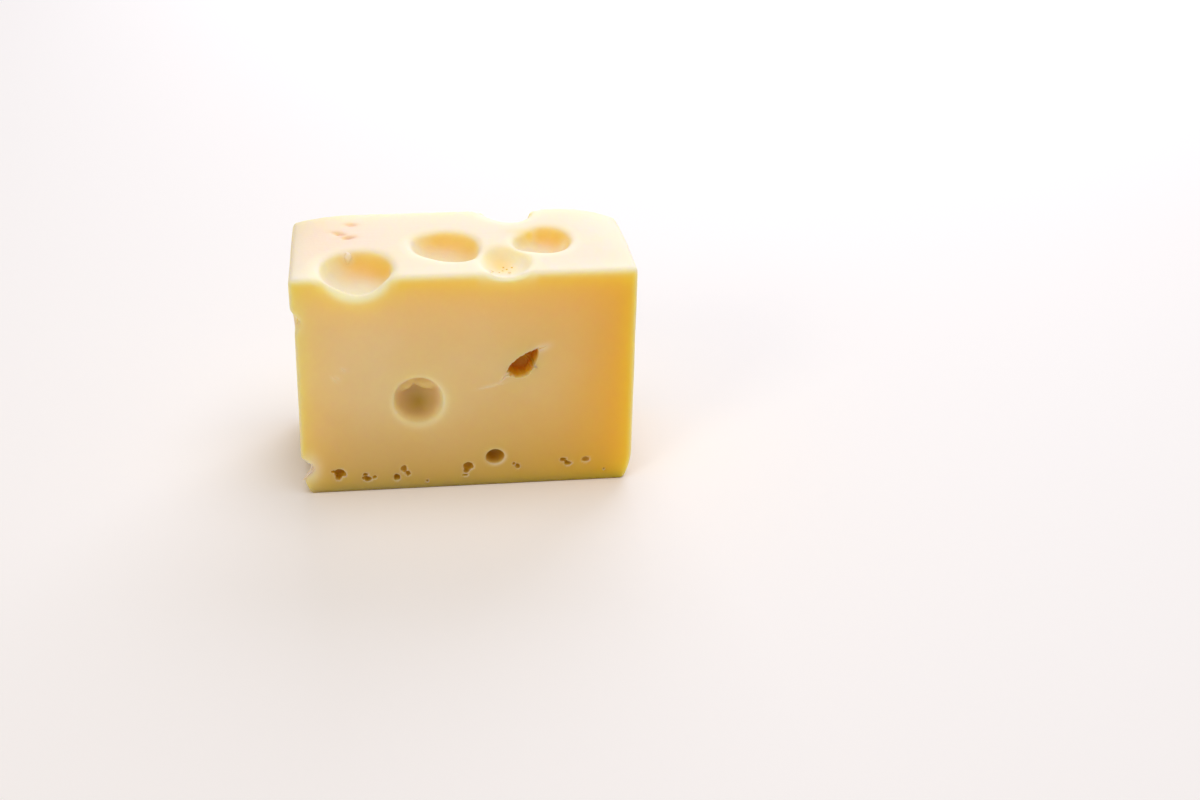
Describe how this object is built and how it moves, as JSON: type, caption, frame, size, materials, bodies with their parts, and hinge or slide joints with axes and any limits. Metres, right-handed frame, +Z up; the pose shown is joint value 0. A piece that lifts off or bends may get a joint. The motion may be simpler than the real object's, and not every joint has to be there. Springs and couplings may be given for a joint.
{
  "type": "swiss cheese block",
  "caption": "Rectangular block of pale yellow Swiss-type cheese with round eyes, a torn slit and softened cut edges, standing on its flat rind side.",
  "frame": {"origin": "middle of the flat base, on the surface that the block stands on", "axes": "+X along the long front face, +Y back from that face, +Z up"},
  "size_m": [0.13, 0.062, 0.092],
  "materials": {
    "cheese": "satin cut cheese, slightly translucent"
  },
  "bodies": {
    "root": {"cheese_block": "cheese"}
  },
  "joints": []
}
